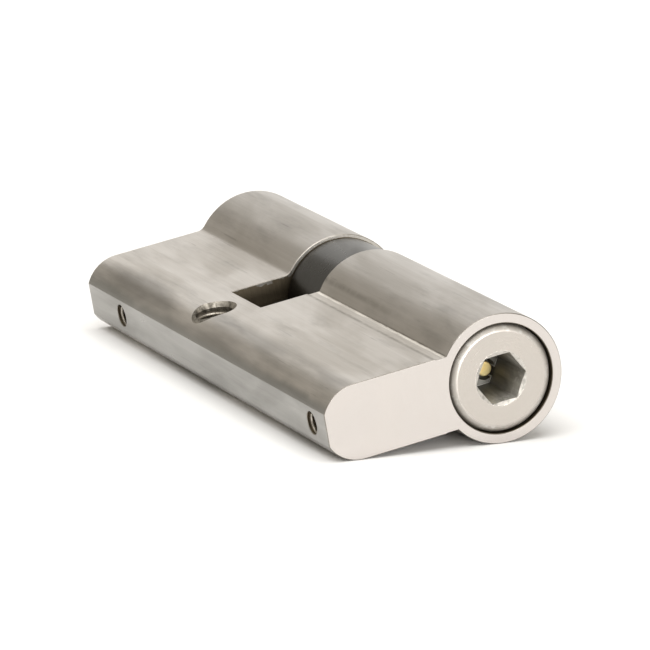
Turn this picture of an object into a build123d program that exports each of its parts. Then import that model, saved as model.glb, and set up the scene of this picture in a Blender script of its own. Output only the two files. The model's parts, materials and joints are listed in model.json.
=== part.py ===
from build123d import *
from math import ceil, hypot, sqrt
import os

# Double euro-profile lock cylinder, turned from either end with a hexagon key.
#
# Frame: +X runs along the plug axis towards the front face, +Y is the way the barrel bulges,
# -Y the way the leg reaches, and +Z is up with the cylinder lying on its side.
# The origin is on the plug axis, in the middle of the cam slot. Lengths are in millimetres.
#
# Each end has a plug with a hexagon socket. Both plugs carry the cam between them. A flat coupler
# slides in the inner end of each plug and reaches into the cam, and a ball parts the two couplers.
# A brass rod reaches from each socket's floor to that plug's coupler, and a spring round it holds it
# there. A key with a nose pushes its rod, which slides both couplers along and frees the far plug.
# A sprung pin in the leg, held by a grub screw, drags in a groove round each plug.

# ---- housing ----
front_length = 45.0  # cam centre to front face
back_length = 35.0  # cam centre to back face
barrel_diameter = 17.0
leg_width = 10.0
sole_flat = 4.4  # flat left on the rounded foot of the leg
root_radius = 1.5  # inside corner between barrel and leg
relief_width = 1.6  # planed relief along both roots of the front half
relief_depth = 0.15
relief_crest = 42  # degrees from +Z to the edge that the relief leaves on the barrel
barrel_wall = 1.3  # left round the plug's head at the end face
end_chamfer = 0.1
mouth_chamfer = 0.1
slot_width = 10.0  # cam slot
slot_chamfer = 0.1

# ---- fixing screw, M5, across the leg ----
fixing_diameter = 5.0
fixing_web = 2.1  # end of the cam slot to the hole's wall
fixing_to_sole = 4.5  # hole's axis to the sole of the leg
fixing_mouth_diameter = 6.2

# ---- plugs ----
head_depth = 2.6  # head's seat, below the end face
head_shoulder = 1.15  # step from the head's bore down to the core's bore
nose_step = 1.0  # step from the core down to the nose that carries the cam
head_edge = 1.0  # round rim of the plug's face, which is flush with the end face
head_clearance = 0.15  # head to its bore, all round
running_clearance = 0.05  # core to bore, nose to cam, coupler to slots, rod to guide
socket_flats = 6.1  # hexagon socket across flats
socket_depth = 8.2  # head's face to the floor disc
socket_mouth_step = 0.5  # mouth beyond the flats, all round
socket_mouth_depth = 0.2  # mouth's cone, at the middle of each flat

# ---- cam ----
cam_inset = 0.5  # cam's ring below the barrel's surface
cam_side_clearance = 0.15  # cam to each wall of the slot
cam_web = 3.0  # web in the middle, with the slot for the couplers
nose_gap = 0.4  # web to the end of each nose
lug_radius = 15.0  # plug axis to the tip of the lug
lug_root = 4.4  # lug's thickness where it leaves the ring
lug_tip = 3.8
lug_tip_clearance = 0.4  # tip to the end of the slot
lug_corner = 1.2
cam_edge = 0.25

# ---- circlips on the noses ----
circlip_thickness = 0.8
circlip_clearance = 0.05  # on each flat side
circlip_bite = 0.5  # groove below the nose
circlip_rise = 0.65  # ring beyond the core's bore
circlip_gap = 5.0  # opening of the ring

# ---- clutch: floor disc, push rod, spring, couplers and ball ----
disc_thickness = 1.5
rod_diameter = 2.0
disc_hole_clearance = 0.45  # rod to the disc's hole, all round
rod_offset = (1.35, -1.0)  # rod's axis from the plug's, in the plane of the end face
rod_edge = 0.15
collar_step = 0.6  # collar beyond the rod
collar_thickness = 1.0
collar_clearance = 0.1  # collar to the spring's bore
return_spring_length = 8.6
return_spring_wire = 0.4
return_spring_turns = 6
clutch_travel = 1.9  # each way
clutch_clearance = 0.2  # left behind a coupler at the end of its travel
coupler_thickness = 4.0
coupler_length = 5.2
coupler_gap = 0.3  # between the two couplers
coupler_edge = 0.2
pocket_wall = 0.5  # left between the coupler's pocket and the circlip's groove
ball_diameter = 2.0
ball_clearance = 0.05

# ---- drag pins in the leg ----
front_pin_land = 0.8  # head's seat to the pin's groove
back_pin_land = 7.3
pin_step = 0.3  # pin's radius below the grub screw's
pin_edge = 0.25
pin_clearance = 0.05  # in its hole and above the groove's floor
groove_depth = 0.8
groove_clearance = 0.1  # on each side of the pin
grub_diameter = 3.0
grub_clearance = 0.05
grub_length = 4.0
grub_sunk = 0.9  # below the sole
grub_flats = 1.5
grub_socket_depth = 1.8
grub_edge = 0.25
drag_spring_wire = 0.35
drag_spring_clearance = 0.1
drag_spring_turns = 5
drag_spring_length = 6.35

# ---- worked out from the sizes above ----
barrel_radius = barrel_diameter / 2
slot_half = slot_width / 2
slot_reach = lug_radius + lug_tip_clearance
fixing_offset = slot_reach + fixing_web + fixing_diameter / 2
leg_reach = fixing_offset + fixing_to_sole
foot_radius = leg_width / 2
foot_centre = leg_reach - sqrt(foot_radius**2 - (sole_flat / 2) ** 2)

head_bore_radius = barrel_radius - barrel_wall
core_bore_radius = head_bore_radius - head_shoulder
head_radius = head_bore_radius - head_clearance
core_radius = core_bore_radius - running_clearance
nose_radius = core_radius - nose_step
cam_half = slot_half - cam_side_clearance
nose_end = cam_web / 2 + nose_gap
cam_radius = barrel_radius - cam_inset

circlip_groove_width = circlip_thickness + 2 * circlip_clearance
circlip_outer_radius = core_bore_radius + circlip_rise
circlip_inner_radius = nose_radius - circlip_bite

rod_radius = rod_diameter / 2
collar_radius = rod_radius + collar_step
spring_bore_radius = collar_radius + collar_clearance
return_coil_radius = (rod_radius + spring_bore_radius) / 2
coupler_inner = coupler_gap / 2
coupler_outer = coupler_inner + coupler_length
pocket_end = coupler_outer + clutch_travel + clutch_clearance
pocket_corner = circlip_inner_radius - pocket_wall
coupler_width = 2 * (
    sqrt(pocket_corner**2 - (coupler_thickness / 2 + running_clearance) ** 2) - running_clearance
)
spring_seat = coupler_outer + collar_thickness
spring_bore_end = spring_seat + return_spring_length

pin_radius = grub_diameter / 2 - pin_step
groove_half = pin_radius + groove_clearance
front_pin_inset = head_depth + front_pin_land + groove_half
back_pin_inset = head_depth + back_pin_land + groove_half
groove_floor_radius = core_radius - groove_depth
pin_tip = groove_floor_radius + pin_clearance
grub_top = leg_reach - grub_sunk - grub_length
pin_foot = grub_top - drag_spring_length


def end_plane(side, distance):
    """Plane across the axis, that far from the cam's centre, facing out of the front (1) or back (-1)."""
    return Plane(origin=(side * distance, 0, 0), x_dir=(0, 1, 0), z_dir=(side, 0, 0))


def section_plane(side):
    """Plane through the axis, whose x runs outwards on that side and whose y is the radius."""
    return Plane(origin=(0, 0, 0), x_dir=(side, 0, 0), z_dir=(0, 0, side))


def sole_plane(side, half_length, inset, reach):
    """Plane across a drag pin's axis, that far from the plug's axis, facing out of the sole."""
    return Plane(
        origin=(side * (half_length - inset), -reach, 0), x_dir=(1, 0, 0), z_dir=(0, -1, 0)
    )


def finish(shape, label):
    """Labels a finished piece and writes it."""
    shape.label = label
    export_step(shape, f"parts/{label}.step")
    print(label, "volume", round(shape.volume, 1))


def make_housing():
    with BuildPart() as housing:
        with BuildSketch(Plane.YZ.offset(-back_length)) as profile:
            Circle(barrel_radius)
            with Locations((-foot_centre / 2, 0)):
                Rectangle(foot_centre, leg_width)
            with Locations((-foot_centre, 0)):
                Circle(foot_radius)
            with Locations((-leg_reach, 0)):
                Rectangle(
                    foot_radius,
                    leg_width,
                    align=(Align.MAX, Align.CENTER),
                    mode=Mode.SUBTRACT,
                )
            roots = profile.vertices().filter_by_position(
                Axis.X, -barrel_radius, -barrel_radius / 4
            )
            fillet(roots, root_radius)
        extrude(amount=back_length + front_length)
        chamfer(housing.faces().filter_by(Axis.X).edges(), end_chamfer)

        # cam slot, right through the barrel and into the leg
        with BuildSketch(Plane.YZ.offset(-slot_half)) as slot:
            with Locations((-slot_reach, 0)):
                Rectangle(
                    slot_reach + 2 * barrel_radius,
                    2 * barrel_diameter,
                    align=(Align.MIN, Align.CENTER),
                )
        extrude(amount=slot_width, mode=Mode.SUBTRACT)
        slot_walls = housing.faces().filter_by(Axis.X).filter_by_position(
            Axis.X, -slot_half - slot_chamfer, slot_half + slot_chamfer
        )
        rims = slot_walls.edges().filter_by(
            lambda edge: edge.center().Y > -slot_reach + slot_chamfer
        )
        chamfer(rims, slot_chamfer)

        # planed relief along both roots, on the front half alone
        relief_floor = leg_width / 2 - relief_depth
        corner = -sqrt(barrel_radius**2 - (leg_width / 2) ** 2)
        crest = Vector(0, 0, barrel_radius).rotate(Axis.X, relief_crest)
        for side in (1, -1):
            with BuildSketch(Plane.YZ.offset(slot_half)):
                with BuildLine():
                    Polyline(
                        (corner - relief_width - relief_depth, side * leg_width / 2),
                        (corner - relief_width, side * relief_floor),
                        (corner, side * relief_floor),
                        (crest.Y, side * crest.Z),
                        (crest.Y, side * barrel_radius),
                        (corner - relief_width - relief_depth, side * barrel_radius),
                        close=True,
                    )
                make_face()
            extrude(amount=front_length - slot_half, mode=Mode.SUBTRACT)

        # bores for the plugs
        for side, half_length, inset in (
            (1, front_length, front_pin_inset),
            (-1, back_length, back_pin_inset),
        ):
            with BuildSketch(section_plane(side)) as bore:
                with BuildLine():
                    Polyline(
                        (0, 0),
                        (0, core_bore_radius),
                        (half_length - head_depth, core_bore_radius),
                        (half_length - head_depth, head_bore_radius),
                        (half_length - mouth_chamfer, head_bore_radius),
                        (half_length, head_bore_radius + mouth_chamfer),
                        (half_length, 0),
                        close=True,
                    )
                make_face()
            revolve(axis=Axis.X, mode=Mode.SUBTRACT)

            # drag pin's hole, wider at its mouth for the grub screw
            with Locations(sole_plane(side, half_length, inset, leg_reach)):
                CounterBoreHole(
                    radius=pin_radius + pin_clearance,
                    counter_bore_radius=grub_diameter / 2,
                    counter_bore_depth=grub_sunk + grub_length,
                    depth=leg_reach - groove_floor_radius,
                )

        sole_mouths = housing.edges().filter_by(GeomType.CIRCLE).filter_by_position(
            Axis.Y, -leg_reach - mouth_chamfer, -leg_reach + mouth_chamfer
        )
        chamfer(sole_mouths, mouth_chamfer)

        # fixing screw's hole, with a mouth on both flat sides
        for side in (1, -1):
            mouth = Plane(origin=(0, -fixing_offset, side * leg_width / 2), z_dir=(0, 0, side))
            with Locations(mouth):
                CounterSinkHole(
                    radius=fixing_diameter / 2,
                    counter_sink_radius=fixing_mouth_diameter / 2,
                    depth=leg_width / 2,
                    counter_sink_angle=90,
                )
    finish(housing.part, "housing")


def make_plug(side, half_length, inset, label):
    face = half_length
    head_back = half_length - head_depth
    shoulder = face - socket_depth - disc_thickness
    pin_at = half_length - inset
    circlip_at = slot_half - circlip_groove_width
    with BuildPart() as plug:
        with BuildSketch(section_plane(side)):
            with BuildLine():
                Polyline(
                    (nose_end, 0),
                    (nose_end, nose_radius - mouth_chamfer),
                    (nose_end + mouth_chamfer, nose_radius),
                    (circlip_at, nose_radius),
                    (circlip_at, circlip_inner_radius),
                    (slot_half, circlip_inner_radius),
                    (slot_half, core_radius),
                    (pin_at - groove_half, core_radius),
                    (pin_at - groove_half, groove_floor_radius),
                    (pin_at + groove_half, groove_floor_radius),
                    (pin_at + groove_half, core_radius),
                    (head_back, core_radius),
                    (head_back, head_radius),
                    (face, head_radius),
                    (face, 0),
                    close=True,
                )
            make_face()
        revolve(axis=Axis.X)
        rims = plug.edges().filter_by(GeomType.CIRCLE).sort_by(Axis.X)
        fillet(rims[-1 if side > 0 else 0], head_edge)

        # hexagon socket, with room for the disc at its floor, and its mouth
        with BuildSketch(end_plane(side, face)):
            RegularPolygon(socket_flats / 2, 6, major_radius=False)
        extrude(amount=-(face - shoulder), mode=Mode.SUBTRACT)
        mouth_radius = socket_flats / 2 + socket_mouth_step
        cone_depth = mouth_radius * socket_mouth_depth / socket_mouth_step
        with BuildSketch(section_plane(side)):
            with BuildLine():
                Polyline((face, 0), (face, mouth_radius), (face - cone_depth, 0), close=True)
            make_face()
        revolve(axis=Axis.X, mode=Mode.SUBTRACT)

        # guide for the push rod, and the wider bore for its spring
        with BuildSketch(end_plane(side, shoulder)):
            with Locations(rod_offset):
                Circle(rod_radius + running_clearance)
        extrude(amount=-(shoulder - nose_end), mode=Mode.SUBTRACT)
        with BuildSketch(end_plane(side, spring_bore_end)):
            with Locations(rod_offset):
                Circle(spring_bore_radius)
        extrude(amount=-(spring_bore_end - nose_end), mode=Mode.SUBTRACT)

        # pocket that the coupler slides in
        with BuildSketch(end_plane(side, pocket_end)):
            Rectangle(
                coupler_width + 2 * running_clearance, coupler_thickness + 2 * running_clearance
            )
        extrude(amount=-(pocket_end - nose_end), mode=Mode.SUBTRACT)
    finish(plug.part, label)


def make_socket_disc(side, half_length, label):
    floor = half_length - socket_depth
    with BuildPart() as disc:
        with BuildSketch(end_plane(side, floor)):
            RegularPolygon(socket_flats / 2 - running_clearance, 6, major_radius=False)
        extrude(amount=-disc_thickness)
        chamfer(disc.faces().sort_by(Axis.X)[-1 if side > 0 else 0].edges(), mouth_chamfer)
        with BuildSketch(end_plane(side, floor)):
            with Locations(rod_offset):
                Circle(rod_radius + disc_hole_clearance)
        extrude(amount=-disc_thickness, mode=Mode.SUBTRACT)
    finish(disc.part, label)


def make_circlip(side, label):
    outer_face = slot_half - circlip_clearance
    mouth_reach = 2 * circlip_outer_radius
    with BuildPart() as circlip:
        with BuildSketch(end_plane(side, outer_face)):
            Circle(circlip_outer_radius)
            Circle(circlip_inner_radius + circlip_clearance, mode=Mode.SUBTRACT)
            Rectangle(
                mouth_reach,
                circlip_gap,
                align=(Align.MIN, Align.CENTER),
                mode=Mode.SUBTRACT,
            )
        extrude(amount=-circlip_thickness)
    finish(circlip.part, label)


def make_push_rod(side, half_length, label):
    tip = half_length - socket_depth
    with BuildPart() as rod:
        with BuildSketch(end_plane(side, coupler_outer)):
            with Locations(rod_offset):
                Circle(rod_radius)
        extrude(amount=tip - coupler_outer)
        tips = rod.faces().sort_by(Axis.X)
        fillet(tips[-1 if side > 0 else 0].edges(), rod_edge)
        with BuildSketch(end_plane(side, coupler_outer)):
            with Locations(rod_offset):
                Circle(collar_radius)
        extrude(amount=collar_thickness)
    finish(rod.part, label)


def make_spring(start, direction, length, mean_radius, wire_radius, turns, label):
    """Open coil spring whose wire just fits between two faces that are that length apart."""
    height = length - 2 * wire_radius - 2 * running_clearance
    begin = Vector(*start) + Vector(*direction) * (wire_radius + running_clearance)
    with BuildPart() as spring:
        with BuildLine() as path:
            Helix(
                pitch=height / turns,
                height=height,
                radius=mean_radius,
                center=begin,
                direction=direction,
            )
        with BuildSketch(Plane(origin=path.line @ 0, z_dir=path.line % 0)):
            Circle(wire_radius)
        sweep(is_frenet=True)
    wire_length = hypot(height, turns * 2 * 3.14159 * mean_radius)
    print(label, "swept", round(3.14159 * wire_radius**2 * wire_length, 2), "expected")
    finish(spring.part, label)


def make_coupler(side, label):
    with BuildPart() as coupler:
        with BuildSketch(end_plane(side, coupler_inner)):
            Rectangle(coupler_width, coupler_thickness)
        extrude(amount=coupler_length)
        chamfer(coupler.edges(), coupler_edge)
        recess = ball_diameter / 2 - coupler_inner + ball_clearance
        with BuildSketch(end_plane(side, coupler_inner)):
            Circle(ball_diameter / 2 + ball_clearance)
        extrude(amount=recess, mode=Mode.SUBTRACT)
    finish(coupler.part, label)


def make_ball():
    with BuildPart() as ball:
        Sphere(ball_diameter / 2)
    finish(ball.part, "coupler_ball")


def make_cam():
    circlip_seat = slot_half - circlip_groove_width - circlip_clearance
    with BuildPart() as cam:
        with BuildSketch(end_plane(1, -cam_half)) as outline:
            Circle(cam_radius)
            with BuildLine():
                Polyline(
                    (0, lug_root / 2),
                    (-lug_radius, lug_tip / 2),
                    (-lug_radius, -lug_tip / 2),
                    (0, -lug_root / 2),
                    close=True,
                )
            make_face()
            tip_corners = outline.vertices().sort_by(Axis.X)[:2]
            fillet(tip_corners, lug_corner)
        extrude(amount=2 * cam_half)
        chamfer(cam.faces().filter_by(Axis.X).edges(), cam_edge)
        for side in (1, -1):
            with BuildSketch(section_plane(side)):
                with BuildLine():
                    Polyline(
                        (cam_web / 2, 0),
                        (cam_web / 2, nose_radius + running_clearance),
                        (circlip_seat, nose_radius + running_clearance),
                        (circlip_seat, circlip_outer_radius + circlip_clearance),
                        (slot_half, circlip_outer_radius + circlip_clearance),
                        (slot_half, 0),
                        close=True,
                    )
                make_face()
            revolve(axis=Axis.X, mode=Mode.SUBTRACT)
        with BuildSketch(end_plane(1, -cam_web / 2)):
            Rectangle(
                coupler_width + 2 * running_clearance, coupler_thickness + 2 * running_clearance
            )
        extrude(amount=cam_web, mode=Mode.SUBTRACT)
    finish(cam.part, "cam")


def make_drag_pin(side, half_length, inset, label):
    with BuildPart() as pin:
        with BuildSketch(sole_plane(side, half_length, inset, pin_tip)):
            Circle(pin_radius)
        extrude(amount=pin_foot - pin_tip)
        chamfer(pin.faces().filter_by(Axis.Y).edges(), pin_edge)
    finish(pin.part, label)


def make_grub_screw(side, half_length, inset, label):
    with BuildPart() as grub:
        with BuildSketch(sole_plane(side, half_length, inset, grub_top)):
            Circle(grub_diameter / 2 - grub_clearance)
        extrude(amount=grub_length)
        chamfer(grub.faces().filter_by(Axis.Y).edges(), grub_edge)
        with BuildSketch(sole_plane(side, half_length, inset, grub_top + grub_length)):
            RegularPolygon(grub_flats / 2, 6, major_radius=False)
        extrude(amount=-grub_socket_depth, mode=Mode.SUBTRACT)
    finish(grub.part, label)


os.makedirs("parts", exist_ok=True)
make_housing()
make_cam()
make_ball()
for side, end, half_length, inset in (
    (1, "front", front_length, front_pin_inset),
    (-1, "back", back_length, back_pin_inset),
):
    make_plug(side, half_length, inset, f"plug_{end}")
    make_socket_disc(side, half_length, f"socket_disc_{end}")
    make_circlip(side, f"circlip_{end}")
    make_push_rod(side, half_length, f"push_rod_{end}")
    make_coupler(side, f"coupler_{end}")
    make_spring(
        start=(side * spring_seat, rod_offset[0], side * rod_offset[1]),
        direction=(side, 0, 0),
        length=return_spring_length,
        mean_radius=return_coil_radius,
        wire_radius=return_spring_wire / 2,
        turns=return_spring_turns,
        label=f"return_spring_{end}",
    )
    make_drag_pin(side, half_length, inset, f"drag_pin_{end}")
    make_spring(
        start=(side * (half_length - inset), -pin_foot, 0),
        direction=(0, -1, 0),
        length=drag_spring_length,
        mean_radius=pin_radius - drag_spring_clearance - drag_spring_wire / 2,
        wire_radius=drag_spring_wire / 2,
        turns=drag_spring_turns,
        label=f"drag_spring_{end}",
    )
    make_grub_screw(side, half_length, inset, f"grub_screw_{end}")
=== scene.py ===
"""Looks of a double euro-profile lock cylinder that is turned by a hexagon key from either end.

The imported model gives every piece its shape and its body. This script dresses those pieces, cuts
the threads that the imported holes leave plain, and sets the studio round them. Lengths in the
dataclasses are in millimetres, and meshes are in metres, in the model's own frame: +X runs along
the plugs towards the front face, -Y down the leg, and +Z up with the cylinder on its side.
"""

import json
import logging
import math
from dataclasses import dataclass
from enum import Enum

import bmesh
import bpy
from mathutils import Matrix, Vector

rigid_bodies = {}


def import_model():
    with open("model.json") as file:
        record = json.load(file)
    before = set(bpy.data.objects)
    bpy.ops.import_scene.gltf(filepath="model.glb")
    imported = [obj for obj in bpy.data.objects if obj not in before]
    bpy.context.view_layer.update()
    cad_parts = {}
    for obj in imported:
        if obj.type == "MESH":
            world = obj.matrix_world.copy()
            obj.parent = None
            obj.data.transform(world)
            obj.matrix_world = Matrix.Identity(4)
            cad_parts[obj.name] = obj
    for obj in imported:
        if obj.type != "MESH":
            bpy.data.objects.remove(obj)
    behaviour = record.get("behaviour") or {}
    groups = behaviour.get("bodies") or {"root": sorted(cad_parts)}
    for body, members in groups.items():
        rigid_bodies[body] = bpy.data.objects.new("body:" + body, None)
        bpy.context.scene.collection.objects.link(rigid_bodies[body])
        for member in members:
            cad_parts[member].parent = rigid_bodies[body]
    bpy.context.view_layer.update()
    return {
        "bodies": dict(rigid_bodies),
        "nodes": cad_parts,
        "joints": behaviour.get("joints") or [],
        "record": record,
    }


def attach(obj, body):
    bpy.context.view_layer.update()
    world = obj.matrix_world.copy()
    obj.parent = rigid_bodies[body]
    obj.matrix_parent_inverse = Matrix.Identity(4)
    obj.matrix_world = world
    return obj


LOG = logging.getLogger("lock_cylinder")
MM = 0.001

Colour = tuple[float, float, float]
Triple = tuple[float, float, float]
Socket = bpy.types.NodeSocket


class End(Enum):
    """An end of the cylinder, by the name that its pieces carry."""

    FRONT = "front"
    BACK = "back"

    @property
    def side(self) -> int:
        """1 at the front and -1 at the back."""
        return 1 if self is End.FRONT else -1


class Lay(Enum):
    """Which way a tool left its marks."""

    ALONG = "along the cylinder"
    AROUND = "around the plug's axis"
    ACROSS = "across, from flank to flank"


# ---- Shader plumbing ----


class Tree:
    """Adds nodes to a node tree and wires them up."""

    def __init__(self, tree: bpy.types.NodeTree) -> None:
        """Keeps the tree.

        Args:
            tree: The material's or group's node tree.
        """
        self.tree = tree

    def add(self, kind: str, inputs: dict | None = None, **settings: object) -> bpy.types.Node:
        """Adds one node.

        Args:
            kind: Type name without its ShaderNode prefix.
            inputs: Values or sockets by input name or index.
            settings: Attributes of the node.

        Returns:
            The new node.
        """
        node = self.tree.nodes.new("ShaderNode" + kind)
        for name, value in settings.items():
            setattr(node, name, value)
        for key, value in (inputs or {}).items():
            self.feed(node.inputs[key], value)
        return node

    def feed(self, socket: Socket, value: object) -> None:
        """Links a socket to another, or sets its value.

        Args:
            socket: The input to feed.
            value: A socket to link from, or a plain value.
        """
        if isinstance(value, Socket):
            self.tree.links.new(value, socket)
        elif isinstance(value, tuple) and len(value) == 3 and socket.type == "RGBA":
            socket.default_value = (*value, 1.0)
        else:
            socket.default_value = value

    def math(self, operation: str, first: object, second: object = 0.0) -> Socket:
        """Puts two numbers through a Math node.

        Args:
            operation: Name of the operation.
            first: Socket or number.
            second: Socket or number.

        Returns:
            The result's socket.
        """
        return self.add("Math", {0: first, 1: second}, operation=operation).outputs[0]

    def chain(self, operation: str, *values: object) -> Socket:
        """Puts two or more numbers through the same operation, one after the other.

        Args:
            operation: Name of the operation.
            values: Sockets or numbers.

        Returns:
            The result's socket.
        """
        result = values[0]
        for value in values[1:]:
            result = self.math(operation, result, value)
        return result

    def plus(self, *values: object) -> Socket:
        """The sum of the numbers."""
        return self.chain("ADD", *values)

    def minus(self, first: object, second: object) -> Socket:
        """The first number less the second."""
        return self.math("SUBTRACT", first, second)

    def times(self, *values: object) -> Socket:
        """The product of the numbers, or where all of the masks meet."""
        return self.chain("MULTIPLY", *values)

    def most(self, *values: object) -> Socket:
        """The largest of the numbers, or where any of the masks is."""
        return self.chain("MAXIMUM", *values)

    def over(self, value: object, limit: object) -> Socket:
        """1 where the value is over the limit, and 0 elsewhere."""
        return self.math("GREATER_THAN", value, limit)

    def under(self, value: object, limit: object) -> Socket:
        """1 where the value is under the limit, and 0 elsewhere."""
        return self.math("LESS_THAN", value, limit)

    def unsigned(self, value: object) -> Socket:
        """The number without its sign."""
        return self.math("ABSOLUTE", value)

    def distance(self, first: object, second: object) -> Socket:
        """Distance from a line, given the two offsets from it."""
        return self.math("SQRT", self.plus(self.times(first, first), self.times(second, second)))

    def place(self) -> tuple[Socket, ...]:
        """The point on the surface in the model's frame, whole and then as x, y and z."""
        point = self.add("TexCoord").outputs["Object"]
        return (point, *self.add("SeparateXYZ", {0: point}).outputs)

    def join(self, x: object, y: object, z: object) -> Socket:
        """The point that has these coordinates."""
        return self.add("CombineXYZ", {0: x, 1: y, 2: z}).outputs[0]

    def spread(
        self, value: object, low: float, high: float, to_low: float = 0.0, to_high: float = 1.0
    ) -> Socket:
        """Maps a range smoothly onto another, and holds it at both ends.

        Args:
            value: Socket to map.
            low: Value that gives to_low.
            high: Value that gives to_high.
            to_low: Result at low.
            to_high: Result at high.

        Returns:
            The result's socket.
        """
        node = self.add("MapRange", {0: value}, interpolation_type="SMOOTHSTEP")
        for index, number in enumerate((low, high, to_low, to_high), start=1):
            node.inputs[index].default_value = number
        return node.outputs[0]

    def mix(self, share: object, first: object, second: object) -> Socket:
        """Mixes two colours.

        Args:
            share: How much of the second one, socket or number.
            first: Colour or socket.
            second: Colour or socket.

        Returns:
            The mixed colour's socket.
        """
        node = self.add("Mix", data_type="RGBA")
        self.feed(node.inputs[0], share)
        self.feed(node.inputs[6], first)
        self.feed(node.inputs[7], second)
        return node.outputs[2]

    def blend(self, share: object, first: object, second: object) -> Socket:
        """Mixes two numbers.

        Args:
            share: How much of the second one, socket or number.
            first: Number or socket.
            second: Number or socket.

        Returns:
            The mixed number's socket.
        """
        node = self.add("Mix", {0: share, 2: first, 3: second}, data_type="FLOAT")
        return node.outputs[0]

    def noise(
        self, vector: object, scale: float, detail: float = 3.0, roughness: float = 0.55
    ) -> Socket:
        """Adds a noise.

        Args:
            vector: Coordinates.
            scale: Cells per unit of the coordinates.
            detail: Octaves.
            roughness: Share that each octave keeps of the last.

        Returns:
            The noise value's socket.
        """
        node = self.add(
            "TexNoise",
            {"Vector": vector, "Scale": scale, "Detail": detail, "Roughness": roughness},
        )
        return node.outputs[0]

    def finish(self, shader: bpy.types.Node, colour: Socket, rough: Socket, height: Socket) -> None:
        """Gives a shader its colour, its roughness and its bumps.

        Args:
            shader: The material's shader.
            colour: Socket of the colour.
            rough: Socket of the roughness.
            height: Socket of the height, in metres.
        """
        bump = self.add("Bump", {"Height": height, "Strength": 1.0, "Distance": 1.0})
        self.feed(shader.inputs["Base Color"], colour)
        self.feed(shader.inputs["Roughness"], rough)
        self.feed(shader.inputs["Normal"], bump.outputs[0])


@dataclass(frozen=True)
class Ramp:
    """A smooth rise or fall between two places.

    Attributes:
        start: Where it leaves its first value.
        stop: Where it reaches its last value.
        first: Value before its start.
        last: Value past its stop.
    """

    start: float
    stop: float
    first: float = 0.0
    last: float = 1.0

    def over(self, tree: Tree, value: object) -> Socket:
        """The ramp's value at a place given in metres."""
        return tree.spread(value, self.start * MM, self.stop * MM, self.first, self.last)


@dataclass(frozen=True)
class Pattern:
    """Patches cut out of a noise.

    Attributes:
        scale: Cells to the metre.
        detail: Octaves.
        low: Noise value at which a patch starts.
        high: Noise value from which it is whole.
        first: Strength outside the patches.
        last: Strength inside them.
        keep: Share that each octave keeps of the last.
    """

    scale: float
    detail: float
    low: float
    high: float
    first: float = 0.0
    last: float = 1.0
    keep: float = 0.55

    def over(self, tree: Tree, vector: object) -> Socket:
        """The pattern's strength at a place given in metres."""
        noise = tree.noise(vector, self.scale, self.detail, self.keep)
        return tree.spread(noise, self.low, self.high, self.first, self.last)


def new_group(
    name: str, inputs: dict[str, float], outputs: tuple[str, ...]
) -> tuple[bpy.types.NodeTree, Tree, bpy.types.Node, bpy.types.Node]:
    """Starts a shader node group that reads a point and some numbers, and gives numbers.

    Args:
        name: The group's name.
        inputs: Default value of each number by name. The point's input is Vector.
        outputs: Names of the results.

    Returns:
        The group, its tree, and its input and output nodes.
    """
    group = bpy.data.node_groups.new(name, "ShaderNodeTree")
    new_socket = group.interface.new_socket
    new_socket(name="Vector", in_out="INPUT", socket_type="NodeSocketVector")
    for label, value in inputs.items():
        socket = new_socket(name=label, in_out="INPUT", socket_type="NodeSocketFloat")
        socket.default_value = value
    for label in outputs:
        new_socket(name=label, in_out="OUTPUT", socket_type="NodeSocketFloat")
    tree = Tree(group)
    return group, tree, group.nodes.new("NodeGroupInput"), group.nodes.new("NodeGroupOutput")


TURNING_RADIUS = 4.0 * MM  # where the length of marks round the axis is measured
STAGGER = (0.83, 0.61)  # how far a mark shifts with its place, so that no two line up
LINE_BOUNDS = (0.3, 0.7)  # noise values between which a mark rises from 0 to 1
STROKE_BOUNDS = (0.32, 0.68)  # the same for a stroke
CLOUD_BOUNDS = (0.35, 0.68)  # and for a cloudy patch
STROKE_HEIGHT = 0.45  # the strokes' share of the height, beside the lines
THIN_LINES = Pattern(3100.0, 1.0, 0.66, 0.72)
SCRATCHED_PLACES = Pattern(260.0, 2.0, 0.48, 0.62)
CLOUD_SLANT = 0.4  # how far the clouds lean from the length of the cylinder
NICKS_PER_METRE = 700.0
NICK_EDGE = (0.10, 0.04)  # distances from a nick's middle between which it deepens, in cells
NICKED_PLACES = Pattern(420.0, 1.0, 0.56, 0.64)
EDGE_COSINES = (0.995, 0.90)  # bend of the surface where rubbing starts and where it is whole
UNBROKEN_EDGES = Pattern(900.0, 4.0, 0.38, 0.56, 0.25, 1.0)


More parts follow.
